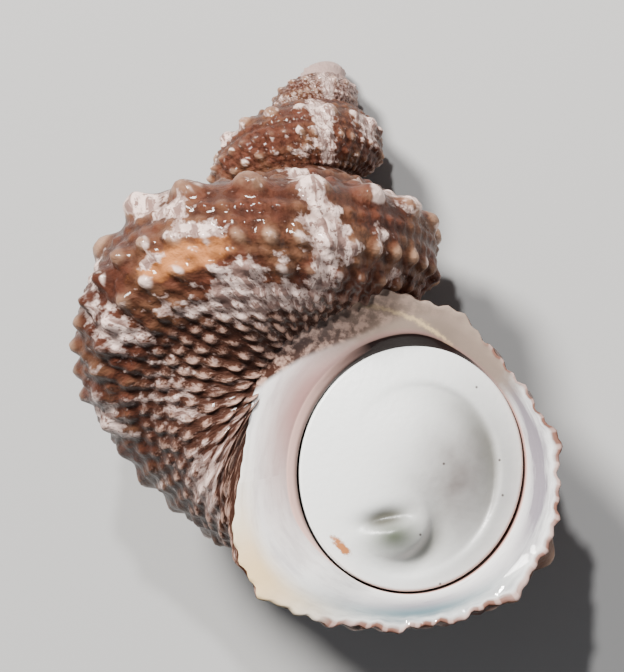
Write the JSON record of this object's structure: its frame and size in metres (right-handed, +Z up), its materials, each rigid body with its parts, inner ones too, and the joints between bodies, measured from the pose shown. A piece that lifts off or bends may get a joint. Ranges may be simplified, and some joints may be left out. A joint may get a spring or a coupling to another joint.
{
  "type": "turban shell",
  "caption": "Coiled turban shell with beaded cords, lying on its back with its thick round limy operculum closing the mouth.",
  "frame": {"origin": "under the middle of the lying shell's box, on the surface that it rests on", "axes": "+Z up from the resting surface, with the mouth looking up; +Y along the shell's length towards its apex"},
  "size_m": [0.0296, 0.0328, 0.0199],
  "materials": {
    "shell": "glossy reddish brown and cream mottling, pearly and pale round the mouth",
    "operculum": "smooth white porcelain-like lime with a faint grey green boss"
  },
  "bodies": {
    "root": {"shell": "shell", "operculum": "operculum"}
  },
  "joints": []
}
